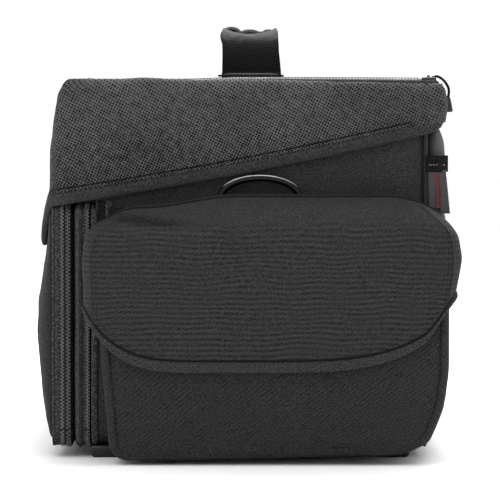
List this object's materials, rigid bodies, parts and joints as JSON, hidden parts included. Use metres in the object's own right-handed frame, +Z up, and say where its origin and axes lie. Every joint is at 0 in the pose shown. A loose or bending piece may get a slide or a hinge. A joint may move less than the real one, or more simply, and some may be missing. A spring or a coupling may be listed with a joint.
{
  "type": "motorcycle tail bag",
  "caption": "Soft motorcycle tail bag with a zipped lid, a mesh hood, an expanding front compartment and a flapped pocket at each end.",
  "frame": {"origin": "on the ground under the centre of the bag's box", "axes": "+X towards the back panel, -X towards the front compartment, Y along the bag's length from one side pocket to the other, +Z up"},
  "size_m": [0.2549, 0.4184, 0.267],
  "materials": {
    "canvas": "plain-weave black canvas, matt",
    "spacer_mesh": "three-dimensional spacer mesh with round holes, matt",
    "binding": "folded twill binding with a stitch row, matt",
    "lining": "light woven lining, matt",
    "foam_pad": "brushed fabric over closed-cell foam, matt",
    "webbing": "ribbed polyamide webbing, slightly shiny",
    "zip_tape": "herringbone zip tape, matt",
    "zip_coil": "moulded coil, satin",
    "moulded_plastic": "moulded polyamide, glossy",
    "zip_metal": "black enamelled metal, satin",
    "board": "stiff sheet, matt",
    "hook_and_loop": "hook-and-loop tape, matt",
    "label_fabric": "blank folded label, matt"
  },
  "bodies": {
    "bag": {"bottom_panel": "canvas", "end_panel_near": "canvas", "end_panel_far": "canvas", "back_panel": "canvas", "inner_front_panel": "canvas", "brow_floor": "canvas", "brow_panel": "canvas", "inner_lining": "lining", "base_board": "board", "back_pad": "foam_pad", "back_webbing": "webbing", "side_label": "label_fabric", "foot_front_near": "moulded_plastic", "foot_front_far": "moulded_plastic", "foot_back_near": "moulded_plastic", "foot_back_far": "moulded_plastic", "mesh_hood": "spacer_mesh", "hood_hem": "binding", "main_zip_body_tape": "zip_tape", "pocket_near": "canvas", "pocket_far": "canvas", "loop_strip_near": "hook_and_loop", "loop_strip_far": "hook_and_loop", "d_ring_tab_near": "webbing", "d_ring_tab_far": "webbing"},
    "lid": {"lid_panel": "canvas", "main_zip_lid_tape": "zip_tape", "main_zip_chain": "zip_coil", "handle_leg_near": "webbing", "handle_leg_far": "webbing", "handle_patch_near": "canvas", "handle_patch_far": "canvas"},
    "handle": {"handle_grip": "binding"},
    "main_slider": {"main_zip_slider": "zip_metal"},
    "main_pull": {"main_zip_pull_cord": "webbing", "main_zip_pull_tab": "moulded_plastic"},
    "front_section": {"expansion_gusset": "canvas", "expansion_zip": "zip_coil", "binding_tape": "binding", "front_divider": "lining"},
    "front_cover": {"front_panel": "canvas", "front_zip": "zip_coil"},
    "front_slider": {"front_zip_slider": "zip_metal"},
    "expansion_slider": {"expansion_zip_slider": "zip_metal"},
    "near_flap": {"flap_near": "canvas", "flap_hem_near": "binding", "hook_strip_near": "hook_and_loop"},
    "far_flap": {"flap_far": "canvas", "flap_hem_far": "binding", "hook_strip_far": "hook_and_loop"},
    "near_ring": {"d_ring_near": "moulded_plastic"},
    "far_ring": {"d_ring_far": "moulded_plastic"}
  },
  "joints": [
    {"name": "lid_hinge", "type": "hinge", "parent": "bag", "child": "lid", "pos_m": [-0.098, 0, 0.2323], "axis": [0, -1, 0], "range_deg": [0, 105]},
    {"name": "handle_press", "type": "slide", "parent": "lid", "child": "handle", "axis": [0, 0, -1], "range_m": [0, 0.016], "stiffness_N_per_m": 300, "deforming": ["handle_leg_near", "handle_leg_far"]},
    {"name": "main_slider_run", "type": "slide", "parent": "lid", "child": "main_slider", "axis": [0, 1, 0], "range_m": [0, 0.27]},
    {"name": "main_pull_swing", "type": "hinge", "parent": "main_slider", "child": "main_pull", "pos_m": [0.1148, -0.147, 0.2346], "axis": [0, -1, 0], "range_deg": [0, 100]},
    {"name": "expansion_slide", "type": "slide", "parent": "bag", "child": "front_section", "axis": [-1, 0, 0], "range_m": [0, 0.028]},
    {"name": "front_cover_hinge", "type": "hinge", "parent": "front_section", "child": "front_cover", "pos_m": [-0.1094, 0, 0.007], "axis": [0, -1, 0], "range_deg": [0, 70]},
    {"name": "front_slider_run", "type": "slide", "parent": "front_section", "child": "front_slider", "axis": [0, 0, -1], "range_m": [0, 0.112]},
    {"name": "expansion_slider_run", "type": "slide", "parent": "front_section", "child": "expansion_slider", "axis": [0, 0, -1], "range_m": [0, 0.112]},
    {"name": "near_flap_hinge", "type": "hinge", "parent": "bag", "child": "near_flap", "pos_m": [0.015, -0.1685, 0.158], "axis": [-1, 0, 0], "range_deg": [0, 70]},
    {"name": "far_flap_hinge", "type": "hinge", "parent": "bag", "child": "far_flap", "pos_m": [0.015, 0.1685, 0.158], "axis": [1, 0, 0], "range_deg": [0, 70]},
    {"name": "near_ring_tilt", "type": "hinge", "parent": "bag", "child": "near_ring", "pos_m": [0.0065, -0.1634, 0.148], "axis": [1, 0, 0], "range_deg": [-6, 8]},
    {"name": "far_ring_tilt", "type": "hinge", "parent": "bag", "child": "far_ring", "pos_m": [0.0065, 0.1634, 0.148], "axis": [-1, 0, 0], "range_deg": [-6, 8]}
  ]
}
